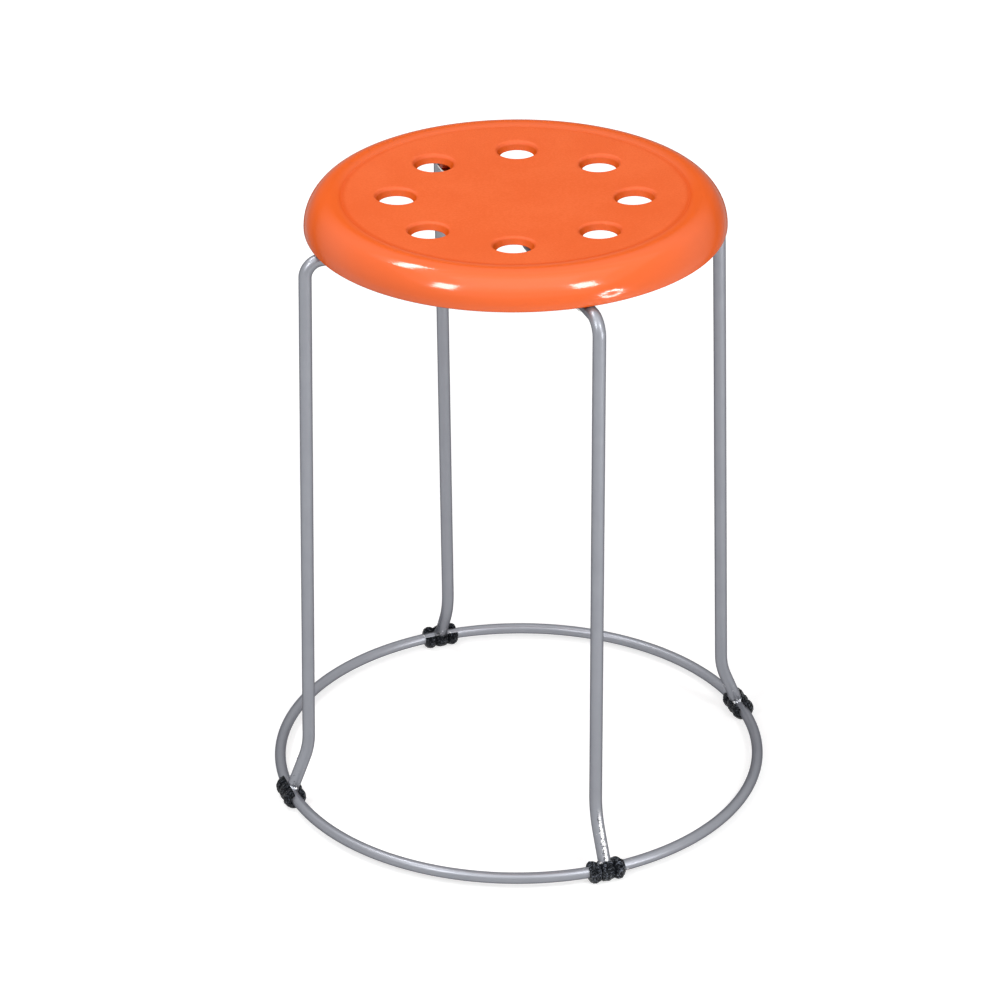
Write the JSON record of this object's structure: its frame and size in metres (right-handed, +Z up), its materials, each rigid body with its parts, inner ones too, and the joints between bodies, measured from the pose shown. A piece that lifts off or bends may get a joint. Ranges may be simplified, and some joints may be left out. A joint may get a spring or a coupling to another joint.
{
  "type": "stacking stool",
  "caption": "Round backless stool: dished plastic seat with tapered holes on splayed bent-rod legs, a rod ring at the base and clip-on feet.",
  "frame": {"origin": "on the floor, under the middle of the seat", "axes": "+Z up; the legs stand on +X (right), +Y (back), -X (left) and -Y (front)"},
  "size_m": [0.3664, 0.3664, 0.45],
  "materials": {
    "seat_plastic": "orange moulded plastic, glossy rim, fine matt grain on the disc",
    "rod_paint": "silver-grey paint, semi-gloss",
    "weld_paint": "silver-grey paint over rough weld",
    "foot_plastic": "black, matt, coarse grain",
    "clamp_steel": "zinc-plated sheet steel",
    "screw_steel": "zinc-plated screw"
  },
  "bodies": {
    "root": {"seat": "seat_plastic", "hoop_left_right": "rod_paint", "hoop_front_back": "rod_paint", "base_ring": "rod_paint", "crossing_weld": "weld_paint", "leg_weld_right": "weld_paint", "leg_weld_back": "weld_paint", "leg_weld_left": "weld_paint", "leg_weld_front": "weld_paint", "foot_right": "foot_plastic", "foot_back": "foot_plastic", "foot_left": "foot_plastic", "foot_front": "foot_plastic", "seat_clamp_right": "clamp_steel", "seat_clamp_back": "clamp_steel", "seat_clamp_left": "clamp_steel", "seat_clamp_front": "clamp_steel", "clamp_screw_right_1": "screw_steel", "clamp_screw_right_2": "screw_steel", "clamp_screw_back_1": "screw_steel", "clamp_screw_back_2": "screw_steel", "clamp_screw_left_1": "screw_steel", "clamp_screw_left_2": "screw_steel", "clamp_screw_front_1": "screw_steel", "clamp_screw_front_2": "screw_steel"}
  },
  "joints": []
}
